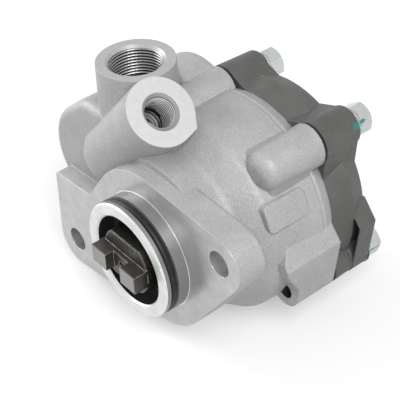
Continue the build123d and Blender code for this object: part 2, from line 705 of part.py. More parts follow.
def balls():
    """The bearing's balls."""
    return Compound([Pos(x, BALL_Y, z) * Sphere(BALL_R) for x, z in ball_places()])


def cage():
    """Ring with a round pocket for every ball."""
    half = CAGE_WIDTH / 2
    ring = tube(BALL_RING_R + CAGE_T / 2, BALL_RING_R - CAGE_T / 2, BALL_Y - half, BALL_Y + half)
    for x, z in ball_places():
        ring -= Pos(x, BALL_Y, z) * Sphere(BALL_R + SEAT_GAP)
    return ring


def clip(shaft_radius, y0):
    """External ring in a groove of the shaft."""
    inner = shaft_radius - CLIP_DEPTH + SEAT_GAP
    ring = Circle(inner + CLIP_W) - Circle(inner)
    ring -= Pos(0, -inner - CLIP_W / 2) * Rectangle(CLIP_MOUTH, CLIP_W * 2)
    return across(ring, y0, y0 + CLIP_T - SEAT_GAP)


def flats(radius, half_width):
    """A disc with two flats that look up and down."""
    return Circle(radius) & Rectangle(radius * 2, half_width * 2)


def driver_nose(gap):
    """Section of the shaft's nose that turns the coupling driver."""
    return Rot(0, 0, -DRIVER_TURN) * flats(SHAFT_NOSE_R + gap, SHAFT_NOSE_FLAT + gap)


def drive_shaft():
    """Stepped shaft: driving nose, bearing seat, neck, rotor seat and rear journal."""
    body = rod(SHAFT_R, HUB_Y1, CLIP_Y + CLIP_T + CLIP_SHOULDER)
    body += across(driver_nose(0), SHAFT_NOSE_Y, HUB_Y1)
    body += rod(SHAFT_NECK_R, CLIP_Y, CAM_Y0)
    body += across(flats(SHAFT_NECK_R, DRIVE_FLAT), CAM_Y0, CAM_Y1 + CLIP_T + CUT_SPARE)
    body += rod(SHAFT_REAR_R, CAM_Y1, SHAFT_END_Y)
    outer = SHAFT_R + CUT_SPARE
    body -= tube(outer, SHAFT_R - CLIP_DEPTH, CLIP_Y - SEAT_GAP, CLIP_Y + CLIP_T)
    body -= tube(outer, DRIVE_FLAT - CLIP_DEPTH, CAM_Y1 - SEAT_GAP, CAM_Y1 + CLIP_T)
    rear = body.edges().filter_by(GeomType.CIRCLE).sort_by(Axis.Y)[-1]
    return chamfer(rear, SHAFT_END_CHAMFER)


def coupling_driver():
    """Sintered hub with two flats, and a tang that is notched in the middle."""
    hub = across(flats(HUB_R, HUB_FLAT), HUB_Y0, HUB_Y1)
    hub = chamfer(hub.edges().filter_by(lambda e: abs(e.center().Y - HUB_Y0) < 1e-3), HUB_CHAMFER)
    tang = across(Rectangle(TANG_HALF_L * 2, TANG_HALF_T * 2), TANG_TIP_Y, HUB_Y0 + CUT_SPARE)
    hub += chamfer(tang.edges().filter_by(
        lambda e: abs(e.center().Y - TANG_TIP_Y) < 1e-3), TANG_CHAMFER)
    notch = Rectangle(NOTCH_HALF * 2, TANG_HALF_T * 3)
    hub -= across(notch, TANG_TIP_Y - CUT_SPARE, TANG_TIP_Y + NOTCH_DEPTH)
    hub -= rod(CENTRE_HOLE_R, TANG_TIP_Y, HUB_Y1)
    hub = Rot(0, DRIVER_TURN, 0) * hub
    return hub - across(driver_nose(SEAT_GAP), SHAFT_NOSE_Y - SEAT_GAP, HUB_Y1 + CUT_SPARE)


def vane_angle(index):
    """Angle of one vane's middle plane."""
    return 90 + 360 / VANE_COUNT * (index + 0.5)


def rotor():
    """Slotted rotor on the shaft's flats."""
    body = Circle(ROTOR_R) - flats(SHAFT_NECK_R + SEAT_GAP, DRIVE_FLAT + SEAT_GAP)
    root = CAM_MINOR_R - VANE_TIP_GAP - VANE_LENGTH - VANE_TRAVEL
    mouth = ROTOR_R + CUT_SPARE
    for index in range(VANE_COUNT):
        slot = Pos((root + mouth) / 2, 0) * Rectangle(mouth - root, VANE_T + 2 * RUN_GAP)
        slot += Pos(root, 0) * Circle(SLOT_ROOT_R)
        body -= Rot(0, 0, vane_angle(index)) * slot
    return across(body, CAM_Y0 + ROTOR_SIDE_GAP, CAM_Y1 - ROTOR_SIDE_GAP)


def vane(index):
    """A flat blade with a rounded tip."""
    tip = CAM_MINOR_R - VANE_TIP_GAP
    blade = Pos(tip - VANE_LENGTH / 2, 0) * Rectangle(VANE_LENGTH, VANE_T)
    blade = fillet(blade.vertices().sort_by(Axis.X)[-2:], VANE_T / 2 - VANE_TIP_FLAT)
    return across(Rot(0, 0, vane_angle(index)) * blade,
                  CAM_Y0 + ROTOR_SIDE_GAP, CAM_Y1 - ROTOR_SIDE_GAP)


def cam_ring():
    """Oval track for the vanes, with inlet notches on both faces."""
    section = Circle(CHAMBER_R - SEAT_GAP) - Ellipse(CAM_MAJOR_R, CAM_MINOR_R)
    body = across(section, CAM_Y0, CAM_Y1)
    for x, z in DOWELS:
        body -= rod(DOWEL_R + SEAT_GAP, CAM_Y0 - CUT_SPARE, CAM_Y1 + CUT_SPARE, x, z)
    for angle in (45, 225):
        notch = Rot(0, 0, angle) * Pos(CHAMBER_R, 0) * Rectangle(CHAMBER_R, CAM_NOTCH_W)
        body -= across(notch, CAM_Y0 - CUT_SPARE, CAM_Y0 + CAM_NOTCH_DEPTH)
        body -= across(notch, CAM_Y1 - CAM_NOTCH_DEPTH, CAM_Y1 + CUT_SPARE)
    return body


def plate(y0):
    """Pressure plate with two inlet kidneys and two outlet kidneys."""
    face = Circle(CHAMBER_R - SEAT_GAP) - Circle(SHAFT_NECK_R + FACE_GAP)
    for middle in (45, 135, 225, 315):
        arc = CenterArc((0, 0), KIDNEY_PITCH_R, middle - KIDNEY_ARC / 2, KIDNEY_ARC)
        face -= SlotArc(arc, KIDNEY_W)
    for place in DOWELS:
        face -= spot(DOWEL_R + SEAT_GAP, place)
    return across(face, y0, y0 + PLATE_T)


def rear_plate():
    """Rear pressure plate, relieved round the rotor's clip."""
    return plate(CAM_Y1) - rod(SHAFT_R + CLIP_ROOM, CAM_Y1 - CUT_SPARE, CAM_Y1 + CLIP_T + FACE_GAP)


def dowel_pins():
    """Two pins that hold the cam ring and the plates in place."""
    return Compound([rod(DOWEL_R, DOWEL_Y0, DOWEL_Y1, x, z) for x, z in DOWELS])


def disc_spring():
    """Conical spring that holds the plates against the cam ring."""
    outer = CHAMBER_R - DISC_SPRING_INSET
    inner = outer - DISC_SPRING_W
    return turned([
        (inner, REAR_PLATE_Y1), (inner, REAR_PLATE_Y1 + DISC_SPRING_T), (outer, CHAMBER_Y1),
        (outer, CHAMBER_Y1 - DISC_SPRING_T)])


def throttle_sleeve():
    """Orifice in the pressure port, ahead of the spool."""
    outer = VALVE_BORE_R - SEAT_GAP
    end = SLEEVE_S0 + SLEEVE_T
    return port_turned([
        (SLEEVE_CONE_R, SLEEVE_S0), (outer, SLEEVE_S0), (outer, end), (SLEEVE_ORIFICE_R, end),
        (SLEEVE_ORIFICE_R, SLEEVE_S0 + SLEEVE_CONE_T)])


def sleeve_ring():
    """Round wire ring that keeps the sleeve in."""
    depth = (PORT_DEPTH + SLEEVE_S0) / 2
    return port_frame(depth) * Torus(VALVE_BORE_R - SLEEVE_RING_INSET, SLEEVE_RING_R)


def flow_spool():
    """Grooved spool with a cup for its spring."""
    outer = VALVE_BORE_R - RUN_GAP
    points = [(0, SPOOL_S0), (outer - SPOOL_NOSE, SPOOL_S0), (outer, SPOOL_S0 + SPOOL_NOSE)]
    for groove in SPOOL_GROOVES:
        s0 = SPOOL_S0 + groove - SPOOL_GROOVE_HALF
        s1 = SPOOL_S0 + groove + SPOOL_GROOVE_HALF
        points += [(outer, s0), (SPOOL_WAIST_R, s0), (SPOOL_WAIST_R, s1), (outer, s1)]
    points += [(outer, SPOOL_S1), (SPOOL_CUP_R, SPOOL_S1), (SPOOL_CUP_R, SPOOL_CUP_S0), (0, SPOOL_CUP_S0)]
    return port_turned(points)


def flow_spring():
    """Coil spring between the spool's cup and the end of the bore."""
    length = SPRING_END_S - SPOOL_CUP_S0 - SPRING_WIRE_R - SEAT_GAP
    coil = Helix(length / SPRING_TURNS, length, SPRING_R)
    wire = sweep(Plane(coil @ 0, z_dir=coil % 0) * Circle(SPRING_WIRE_R), coil, is_frenet=True)
    return port_frame(SPRING_END_S) * wire


put(make_housing(), "housing")
put(rear_cover(), "rear_cover")
put(cover_bolts(), "cover_bolts")
put(ring_of_section(PILOT_R - PILOT_RING_R, PILOT_RING_R, GROOVE_Y0 + GROOVE_W / 2), "pilot_o_ring")
put(ring_of_section(COVER_RING_R, COVER_RING_SECTION_R,
                    JOINT_Y + COVER_RING_SECTION_R + SEAT_GAP), "cover_o_ring")
put(retaining_ring(), "bearing_retaining_ring")
put(seal_case(), "shaft_seal_case")
put(seal_lip(), "shaft_seal_lip")
put(race(BEARING_R - SEAT_GAP - RACE_T, BEARING_R - SEAT_GAP), "bearing_outer_race")
put(race(SHAFT_R + SEAT_GAP, SHAFT_R + SEAT_GAP + RACE_T), "bearing_inner_race")
put(balls(), "bearing_balls")
put(cage(), "bearing_cage")
put(clip(SHAFT_R, CLIP_Y), "bearing_clip")
put(drive_shaft(), "drive_shaft")
put(coupling_driver(), "coupling_driver")
put(rotor(), "rotor")
put(clip(DRIVE_FLAT, CAM_Y1), "rotor_clip")
for number in range(VANE_COUNT):
    put(vane(number), "vane_%02d" % (number + 1))
put(cam_ring(), "cam_ring")
put(plate(CHAMBER_Y0), "front_pressure_plate")
put(rear_plate(), "rear_pressure_plate")
put(dowel_pins(), "dowel_pins")
put(disc_spring(), "disc_spring")
put(tube(SHAFT_REAR_R + RUN_GAP + BUSH_WALL, SHAFT_REAR_R + RUN_GAP, BUSH_Y0, BUSH_Y1), "rear_bush")
put(throttle_sleeve(), "throttle_sleeve")
put(sleeve_ring(), "sleeve_ring")
put(flow_spool(), "flow_spool")
put(flow_spring(), "flow_spring")
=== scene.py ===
"""Looks of the power steering pump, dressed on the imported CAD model.

Lengths are in metres, in the CAD's frame: the shaft runs along +Y and the suction port looks up +Z.
"""
import math
from collections import namedtuple

import bpy
from mathutils import Matrix, Vector


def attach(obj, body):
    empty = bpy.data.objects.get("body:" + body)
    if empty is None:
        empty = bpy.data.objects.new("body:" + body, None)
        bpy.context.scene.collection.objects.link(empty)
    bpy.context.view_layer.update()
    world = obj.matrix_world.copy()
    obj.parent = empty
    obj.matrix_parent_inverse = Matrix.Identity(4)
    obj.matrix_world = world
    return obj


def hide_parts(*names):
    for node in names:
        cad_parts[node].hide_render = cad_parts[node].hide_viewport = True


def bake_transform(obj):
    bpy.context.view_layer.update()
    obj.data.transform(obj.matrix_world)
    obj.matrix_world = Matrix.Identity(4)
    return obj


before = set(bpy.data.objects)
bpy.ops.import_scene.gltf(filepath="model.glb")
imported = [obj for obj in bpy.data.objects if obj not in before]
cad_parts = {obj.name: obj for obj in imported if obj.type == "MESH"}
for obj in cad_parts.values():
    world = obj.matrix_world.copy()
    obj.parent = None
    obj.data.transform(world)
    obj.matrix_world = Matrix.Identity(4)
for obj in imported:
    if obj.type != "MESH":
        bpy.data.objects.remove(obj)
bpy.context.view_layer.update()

MM = 0.001
CENTRE = Vector((0, 0, 0))
SHAFT = Vector((0, 1, 0))
UP = Vector((0, 0, 1))

# The camera's place and its own axes
CAMERA_PLACE = (0.3463, -0.2316, 0.3426)
CAMERA_RIGHT = (0.6386, 0.7672, -0.0615)
CAMERA_UP = (-0.4365, 0.4267, 0.7922)
CAMERA_BACK = (0.6339, -0.4789, 0.6073)
CAMERA_LENS_MM = 110.24
CAMERA_SENSOR_MM = 36

# The ports, each with its thread's piece, the middle of its face and the way that the face looks
Port = namedtuple("Port", "thread face direction rim_r mouth_r thread_r thread_end")
PRESSURE_LEAN = math.radians(44)
SUCTION = Port("suction_thread", Vector((-35.8, 28.0, 69.3)) * MM, UP,
               rim_r=19.0 * MM, mouth_r=13.5 * MM, thread_r=12.2 * MM, thread_end=14.0 * MM)
PRESSURE = Port("pressure_thread", Vector((-6.2, 18.0, 60.7)) * MM,
                Vector((math.sin(PRESSURE_LEAN), 0, math.cos(PRESSURE_LEAN))),
                rim_r=17.5 * MM,    # clears the rib beside the port
                mouth_r=8.7 * MM, thread_r=7.25 * MM, thread_end=15.5 * MM)
PORTS = (SUCTION, PRESSURE)
BORE_DEPTH = 40.0 * MM
SUCTION_FACE_WIDTH = 4.4 * MM
THREAD_PITCH = 1.5 * MM
THREAD_HEIGHT = 0.55 * MM
THREAD_START = 1.3 * MM
THREAD_STEPS = 48           # straight pieces in one turn
RIDGE_SIDES = 4             # a thread's ridge is a diamond, half of it in the wall

# Other machined places of the housing and the driver
SKIN = 0.15 * MM            # how far a machined face's finish reaches below it
PILOT_R = 28.0 * MM
PILOT_LIP_Y = -11.6 * MM    # the pilot carries a painted highlight from its end to here
PILOT_SHADED_BORE_R = 24.0 * MM    # painted shade fills the pilot's bore out to here, taking in its groove
FOOT_HIGHLIGHT_WIDTH = 0.35 * MM       # width of the painted highlight line round the pilot's foot
JOINT_Y = 66.0 * MM
EAR_HOLES = ((48.9 * MM, 21.2 * MM), (-60.7 * MM, -30.3 * MM))
EAR_HOLE_R = 6.0 * MM
EAR_BACK = 16.0 * MM        # behind the ears' holes
LUG_BOLT = (41.7 * MM, 0, -23.3 * MM)
LUG_BOLT_R = 4.1 * MM
LUG_FRONT = 42.1 * MM
TANG_TIP_Y = -20.0 * MM
SLEEVE_ORIFICE_R = 2.6 * MM
SLEEVE_R = 6.6 * MM         # the throttle sleeve down the pressure port

# Greys of the housing. A pair is the darkest and the lightest of a mottled place
CAST_TONES = (0.374, 0.444)
CAST_SPECK_SHADES = (0.82, 1.16)    # shades multiply the tone that they lie on
TOOLED_TONES = (0.469, 0.534)
MILLED_TONES = (0.575, 0.635)
SUCTION_FACE_PAINTED_SHADE = 0.692       # painted shade: the suction port's face painted darker than the other port's
LIP_HIGHLIGHT_GAIN = 1.5             # painted highlight: the pilot's end painted brighter than the other tooled faces
# painted shade: the pilot's turned side painted darker
PILOT_SIDE_SHADE_TONE = 0.253
# painted highlight: the thin line round the pilot's foot
FOOT_HIGHLIGHT_TONE = 0.951
# painted shade: the pressure port's countersink painted dark
COUNTERSINK_SHADE_TONE = 0.336
# painted shade: near black in the pilot's bore and in the lug's bolt hole
PAINTED_SHADE_TONE = 0.02
EAR_HOLE_ROOT = 0.38        # an ear's hole looks like a thread this far from its crest, 0, to its root, 1

# Ramps, each as places along a noise or a measure and what they show there
TOOLED_CLOUD_RAMP = ((0.32, 0.90), (0.68, 1.08))
PIT_RAMP = ((0.27, 0.82), (0.34, 1.0))
# Painted shade: each thread darkens from its crest to its root, and the pressure thread's crests carry a
# painted highlight
SUCTION_THREAD_SHADE_RAMP = ((0.1, 0.435), (0.55, 0.186), (0.95, 0.027))      # from its crest to its root
PRESSURE_THREAD_SHADE_RAMP = ((0.1, 0.991), (0.5, 0.331), (0.8, 0.018))
ZINC_RAMP = ((0.35, (0.47, 0.505, 0.525)),      # bluish
             (0.55, (0.53, 0.555, 0.57)),       # white
             (0.72, (0.52, 0.51, 0.43)))        # faint yellow
RUBBER_RAMP = ((0.35, (0.008, 0.008, 0.009)),
               (0.75, (0.018, 0.018, 0.019)))   # pale bloom
SLEEVE_STAIN_AND_REFLECTION_RAMP = ((0.28, (0.26, 0.12, 0.03)),      # amber oil round the orifice
               (0.40, (0.05, 0.04, 0.03)),      # painted shade at the orifice's edge
               # painted reflection: bright, dark and bright rings down the sleeve's cone
               (0.5, 0.80),
               (0.68, 0.35),
               (0.82, 0.85))
METAL_RAMP_ENDS = (0.35, 0.65)

# Colours of the other finishes. A pair is the darkest and the lightest
COVER_COLOURS = ((0.083, 0.082, 0.079), (0.110, 0.109, 0.106))
COVER_SPECK_SHADES = (0.85, 1.16)
SINTERED_COLOURS = ((0.062, 0.059, 0.055), (0.100, 0.096, 0.090))
SINTERED_WORN = (0.40, 0.39, 0.37)
TANG_TIP = (0.28, 0.275, 0.265)
RUST = (0.30, 0.13, 0.04)
WHITE = (1, 1, 1, 1)

# Turned and ground metals: darkest and lightest colour, metallic, roughness and tool lines to a metre
PLAIN_METALS = {
    "ground_steel": ((0.42, 0.42, 0.43), (0.58, 0.58, 0.59), 1.0, 0.3, 2600),
    "dark_steel": ((0.05, 0.05, 0.052), (0.09, 0.088, 0.085), 0.8, 0.4, 1800),
    "oiled_steel": ((0.22, 0.12, 0.04), (0.32, 0.18, 0.07), 0.8, 0.4, 1800),
    "bronze": ((0.42, 0.28, 0.12), (0.55, 0.38, 0.18), 1.0, 0.32, 1800),
    "hard_aluminium": ((0.40, 0.40, 0.41), (0.52, 0.52, 0.53), 0.9, 0.36, 2600),
}

# Noises in the finishes: waves to a metre, detail and roughness
CAST_CLOUDS = (60, 4, 0.6)
CAST_SPECKS = (1300, 3, 0.7)
CAST_SHEEN = (500, 4, 0.55)
CAST_SAND = (1100, 3, 0.65)
CAST_DIMPLES = (260, 4, 0.6)
TOOLED_CLOUDS = (150, 4, 0.6)
TOOLED_PITS = (620, 2, 0.5)
MILLED_CLOUDS = (420, 4, 0.65)
COVER_CLOUDS = (70, 4, 0.6)
COVER_SPECKS = (1500, 3, 0.7)
COVER_SAND = (1200, 3, 0.65)
COVER_DIMPLES = (280, 4, 0.6)
ZINC_CLOUDS = (260, 3, 0.5)
ZINC_SHEEN = (900, 4, 0.55)
ZINC_SKIN = (1600, 3, 0.6)
RUBBER_CLOUDS = (500, 4, 0.6)
RUBBER_SHEEN = (700, 4, 0.55)
SINTERED_CLOUDS = (420, 5, 0.65)
SINTERED_SHEEN = (700, 4, 0.55)
SINTERED_PORES = (1300, 4, 0.7)
SINTERED_WEAR = (900, 4, 0.7)
METAL_CLOUDS = (400, 5, 0.6)
METAL_SHEEN = (800, 4, 0.55)
DAB_EDGE = (1500, 3, 0.55)
NOISE_LOW = 0.3             # a noise seldom leaves the range between these two
NOISE_HIGH = 0.7
METAL_SHEEN_RANGE = 0.06    # how far a metal's roughness strays from its middle
TOOL_LINES = 2600           # waves to a metre across the lines that a tool or a mould leaves
MOULD_LINES = 1500

# Dabs of the paint that a fitter leaves across a tightened bolt, and a fleck of rust on the driver
# Each dab is a start, an end and a radius in millimetres
TEAL = (0.012, 0.21, 0.18)
BLUE = (0.06, 0.10, 0.28)
COVER_DABS = {TEAL: (((50.3, 84.3, -21.4), (49.9, 87.2, -22.0), 0.6),
                     ((42.8, 84.0, 44.9), (42.4, 86.8, 45.0), 1.3)),
              BLUE: (((-18.2, 84.8, 53.6), (-18.4, 85.6, 53.7), 0.5),)}
BOLT_DABS = {TEAL: (((49.7, 87.5, -22.1), (48.4, 91.0, -24.1), 0.7),
                    ((48.4, 91.2, -24.1), (48.6, 94.4, -23.5), 0.8),
                    ((41.4, 88.2, 44.0), (40.7, 90.9, 43.8), 1.0)),
             BLUE: (((-20.1, 87.6, 52.9), (-19.6, 87.5, 53.1), 0.6),)}
DRIVER_DABS = {RUST: (((13.9, -13.1, 4.2), (15.2, -13.4, 3.9), 0.5),)}
DAB_RAGGED = 0.35 * MM      # how far a dab's edge strays

# Studio
FLOOR_Z = -52.8 * MM
FLOOR_HALF = 3.0            # half the floor's side
FLOOR_GREY = 0.68           # the floor's own colour towards the camera, so that its shadow stays pale
FLOOR_BOUNCE = 0.50         # its colour for the light that it sends back to the pump
FLOOR_LIFT = (0.36, 0.95)   # the white added to it near the pump and far away
FLOOR_NEAR = 0.22
FLOOR_FAR = 0.9
SKY_LIGHT = 0.36            # the world's light on the pump, though it looks white
LIGHT_TARGET = Vector((0, 0.03, 0))
LAMP_SIZE = 0.6
LAMPS = {"right": ((0.66, -0.22, 0.73), 8.2),
         "left": ((-0.85, -0.32, 0.45), 6.3)}


class Finish:
    """A material's node tree, with short calls to add and join its nodes."""

    def __init__(self, name):
        self.material = bpy.data.materials.new(name)
        self.material.use_nodes = True
        self.tree = self.material.node_tree
        self.tree.nodes.clear()
        output = self.add("ShaderNodeOutputMaterial")
        self.shader = self.add("ShaderNodeBsdfPrincipled")
        self.tree.links.new(self.shader.outputs["BSDF"], output.inputs["Surface"])
        self.place = self.add("ShaderNodeTexCoord").outputs["Object"]

    def add(self, kind, **settings):
        node = self.tree.nodes.new(kind)
        for key, value in settings.items():
            setattr(node, key, value)
        return node

    def feed(self, socket, value):
        """Join a socket to another node's output, or set its own value."""
        if isinstance(value, bpy.types.NodeSocket):
            self.tree.links.new(value, socket)
        else:
            socket.default_value = value

    def set(self, **values):
        """Feed the shader's sockets, named with underscores for spaces."""
        for name, value in values.items():
            self.feed(self.shader.inputs[name.replace("_", " ")], value)

    def number(self, operation, *values):
        node = self.add("ShaderNodeMath", operation=operation)
        for socket, value in zip(node.inputs, values):
            self.feed(socket, value)
        return node.outputs["Value"]

    def vector(self, operation, *values):
        node = self.add("ShaderNodeVectorMath", operation=operation)
        for socket, value in zip(node.inputs, values):
            self.feed(socket, value)
        scalar = operation in ("DOT_PRODUCT", "LENGTH", "DISTANCE")
        return node.outputs["Value" if scalar else "Vector"]

    def below(self, value, limit):
        return self.number("LESS_THAN", value, limit)

    def above(self, value, limit):
        return self.number("GREATER_THAN", value, limit)

    def both(self, first, second):
        """Product of two masks, or of a tone and what shades it."""
        return self.number("MULTIPLY", first, second)

    def largest(self, *values):
        top = values[0]
        for value in values[1:]:
            top = self.number("MAXIMUM", top, value)
        return top

    def coordinate(self, axis):
        node = self.add("ShaderNodeSeparateXYZ")
        self.feed(node.inputs["Vector"], self.place)
        return node.outputs[axis]

    def radius(self, centre, direction):
        """Distance from an axis through a centre."""
        away = self.vector("SUBTRACT", self.place, tuple(centre))
        return self.vector("LENGTH", self.vector("CROSS_PRODUCT", away, tuple(direction)))

    def depth(self, centre, direction):
        """Distance below a face, measured against its direction."""
        away = self.vector("SUBTRACT", self.place, tuple(centre))
        return self.number("MULTIPLY", self.vector("DOT_PRODUCT", away, tuple(direction)), -1.0)

    def noise(self, scale, detail, roughness):
        node = self.add("ShaderNodeTexNoise")
        node.inputs["Scale"].default_value = scale
        node.inputs["Detail"].default_value = detail
        node.inputs["Roughness"].default_value = roughness
        self.feed(node.inputs["Vector"], self.place)
        return node.outputs["Fac"]

    def lines(self, measure, scale):
        """Uneven fine lines that follow a radius or a depth."""
        node = self.add("ShaderNodeTexNoise", noise_dimensions="1D")
        node.inputs["Scale"].default_value = scale
        node.inputs["Detail"].default_value = 3.0
        self.feed(node.inputs["W"], measure)
        return node.outputs["Fac"]

    def ramp(self, value, *stops):
        """Turn a value into a colour by stops of a position and a colour or a grey."""
        node = self.add("ShaderNodeValToRGB")
        elements = node.color_ramp.elements
        while len(elements) < len(stops):
            elements.new(0.5)
        for element, (position, colour) in zip(elements, stops):
            red_green_blue = colour if isinstance(colour, tuple) else (colour, colour, colour)
            element.position = position
            element.color = (*red_green_blue, 1.0)
        self.feed(node.inputs["Fac"], value)
        return node.outputs["Color"]

    def mottle(self, value, tones):
        """Two tones or colours that run into each other by a noise."""
        return self.ramp(value, (NOISE_LOW, tones[0]), (NOISE_HIGH, tones[1]))

    def span(self, value, low, high, out_low, out_high):
        """Map a range of a value to another range."""
        node = self.add("ShaderNodeMapRange")
        ends = {"From Min": low, "From Max": high, "To Min": out_low, "To Max": out_high}
        for name, end in ends.items():
            node.inputs[name].default_value = end
        self.feed(node.inputs["Value"], value)
        return node.outputs["Result"]

    def uneven(self, noise, low, high):
        """A number that wanders between two by a noise."""
        return self.span(self.noise(*noise), NOISE_LOW, NOISE_HIGH, low, high)

    def blend(self, factor, low, high):
        """Mix two numbers, or two colours where the second is a colour."""
        colours = isinstance(high, tuple) or getattr(high, "type", "") == "RGBA"
        node = self.add("ShaderNodeMix", data_type="RGBA" if colours else "FLOAT")
        first = 6 if colours else 2
        for socket, value in zip((node.inputs[0], node.inputs[first], node.inputs[first + 1]),
                                 (factor, low, high)):
            self.feed(socket, (*value, 1.0) if isinstance(value, tuple) else value)
        return node.outputs[2 if colours else 0]

    def layers(self, base, *places):
        """A number or colour with others laid over it, each given as its mask and itself."""
        for mask, value in places:
            base = self.blend(mask, base, value)
        return base

    def blend_normals(self, factor, low, high):
        node = self.add("ShaderNodeMix", data_type="VECTOR")
        for socket, value in zip((node.inputs[0], node.inputs[4], node.inputs[5]), (factor, low, high)):
            self.feed(socket, value)
        return node.outputs[1]

    def bump(self, height, strength, distance, normal=None):
        node = self.add("ShaderNodeBump")
        node.inputs["Strength"].default_value = strength
        node.inputs["Distance"].default_value = distance
        self.feed(node.inputs["Height"], height)
        if normal:
            self.feed(node.inputs["Normal"], normal)
        return node.outputs["Normal"]

    def soft_edges(self, radius):
        """Normals that round the corners."""
        node = self.add("ShaderNodeBevel", samples=8)
        node.inputs["Radius"].default_value = radius
        return node.outputs["Normal"]

    def dab(self, start, end, radius):
        """Mask of a ragged-edged stroke between two points given in millimetres."""
        start, end = Vector(start) * MM, Vector(end) * MM
        run = end - start
        away = self.vector("SUBTRACT", self.place, tuple(start))
        along = self.number("DIVIDE", self.vector("DOT_PRODUCT", away, tuple(run)), run.length_squared)
        along = self.number("MINIMUM", self.number("MAXIMUM", along, 0.0), 1.0)
        step = self.add("ShaderNodeVectorMath", operation="SCALE")
        self.feed(step.inputs["Vector"], tuple(run))
        self.feed(step.inputs["Scale"], along)
        distance = self.vector("DISTANCE", away, step.outputs["Vector"])
        ragged = self.uneven(DAB_EDGE, -DAB_RAGGED, DAB_RAGGED)
        return self.below(self.number("ADD", distance, ragged), radius * MM)

    def dabbed(self, colour, dabs):
        """A colour with dabs over it, and the mask of them all."""
        masks = []
        for tint, strokes in dabs.items():
            mask = self.largest(*[self.dab(*stroke) for stroke in strokes])
            colour = self.blend(mask, colour, tint)
            masks.append(mask)
        return colour, self.largest(*masks)


def machined_places(m):
    """Masks of the housing's machined places and of its painted shade and painted highlights, by name,
    and two measures of them.

    "lines" is the radius that the tool's lines follow, and "root" runs from a thread's crest to its root.
    """
    along = m.coordinate("Y")
    off_shaft = m.radius(CENTRE, SHAFT)
    lines = off_shaft
    root = 0.0
    rims = []
    bores = []
    for port in PORTS:
        depth = m.depth(port.face, port.direction)
        radius = m.radius(port.face, port.direction)
        mouth_depth = port.mouth_r - port.thread_r
        inside = m.below(radius, port.mouth_r + SKIN)
        rim = m.both(m.below(radius, port.rim_r), m.below(depth, SKIN))
        bore = m.both(inside, m.both(m.above(depth, mouth_depth), m.below(depth, BORE_DEPTH)))
        rims += [rim, m.both(inside, m.below(depth, mouth_depth))]
        bores.append(bore)
        lines = m.blend(rim, lines, radius)
        root = m.blend(bore, root, m.span(radius, port.thread_r - THREAD_HEIGHT, port.thread_r, 0, 1))
    ears = m.below(along, EAR_BACK)
    for x, z in EAR_HOLES:
        hole = m.both(m.below(m.radius((x, 0, z), SHAFT), EAR_HOLE_R + SKIN), ears)
        bores.append(hole)
        root = m.blend(hole, root, EAR_HOLE_ROOT)
    faces = m.largest(m.below(along, SKIN), m.above(along, JOINT_Y - SKIN))
    # painted shade in recesses: the pilot's bore behind its lip, and the lug's bolt hole
    pilot_bore_shade = m.both(m.below(off_shaft, PILOT_SHADED_BORE_R), m.above(along, PILOT_LIP_Y))
    lug_hole_shade = m.both(m.below(m.radius(LUG_BOLT, SHAFT), LUG_BOLT_R + SKIN), m.above(along, LUG_FRONT))
    # painted highlight: a thin ring round the pilot's foot
    foot = m.both(m.above(off_shaft, PILOT_R), m.below(off_shaft, PILOT_R + FOOT_HIGHLIGHT_WIDTH))
    off_suction = m.radius(SUCTION.face, SUCTION.direction)
    in_mouth = m.below(m.radius(PRESSURE.face, PRESSURE.direction), PRESSURE.mouth_r - SKIN)
    return {
        "faces": faces,
        "rims": m.largest(*rims),
        "bores": m.largest(*bores),
        # dark places: painted shade in the pilot's bore and the lug's bolt hole
        "dark": m.largest(pilot_bore_shade, lug_hole_shade),
        # painted highlight on the pilot's end and the lip of its bore
        "lip": m.both(faces, m.below(along, PILOT_LIP_Y)),
        # painted shade on the pilot's turned side
        "side": m.both(faces, m.both(m.above(off_shaft, PILOT_R - SKIN), m.below(along, -SKIN))),
        "foot": m.both(faces, foot),
        "suction": m.below(off_suction, SUCTION.mouth_r + SUCTION_FACE_WIDTH),
        # painted shade in the pressure port's countersink
        "countersink_shade": m.both(in_mouth, m.above(m.depth(PRESSURE.face, PRESSURE.direction), SKIN)),
        "lines": lines,
        "root": root,
    }


def housing_tone(m, at, tool_lines):
    """Grey of the casting, with its machined places, painted shade and painted highlights laid over it.
    """
    specks = m.mottle(m.noise(*CAST_SPECKS), CAST_SPECK_SHADES)
    cast = m.both(m.mottle(m.noise(*CAST_CLOUDS), CAST_TONES), specks)
    clouds = m.ramp(m.noise(*TOOLED_CLOUDS), *TOOLED_CLOUD_RAMP)
    pits = m.ramp(m.noise(*TOOLED_PITS), *PIT_RAMP)
    tooled = m.both(m.both(m.mottle(tool_lines, TOOLED_TONES), clouds), pits)
    milled = m.mottle(m.noise(*MILLED_CLOUDS), MILLED_TONES)
    # painted shade towards each thread's root, with a painted highlight on the pressure thread's crests;
    # the suction thread is painted darker
    thread = m.blend(at["suction"],
                     m.ramp(at["root"], *PRESSURE_THREAD_SHADE_RAMP),
                     m.ramp(at["root"], *SUCTION_THREAD_SHADE_RAMP))
    return m.layers(cast,
                    (m.largest(at["faces"], at["rims"]), tooled),
                    (at["lip"], m.both(tooled, LIP_HIGHLIGHT_GAIN)),
                    (at["side"], PILOT_SIDE_SHADE_TONE),
                    (at["foot"], FOOT_HIGHLIGHT_TONE),
                    (at["rims"], milled),
                    (m.both(at["rims"], at["suction"]), m.both(milled, SUCTION_FACE_PAINTED_SHADE)),
                    (at["countersink_shade"], COUNTERSINK_SHADE_TONE),
                    (at["bores"], thread),
                    (at["dark"], PAINTED_SHADE_TONE))


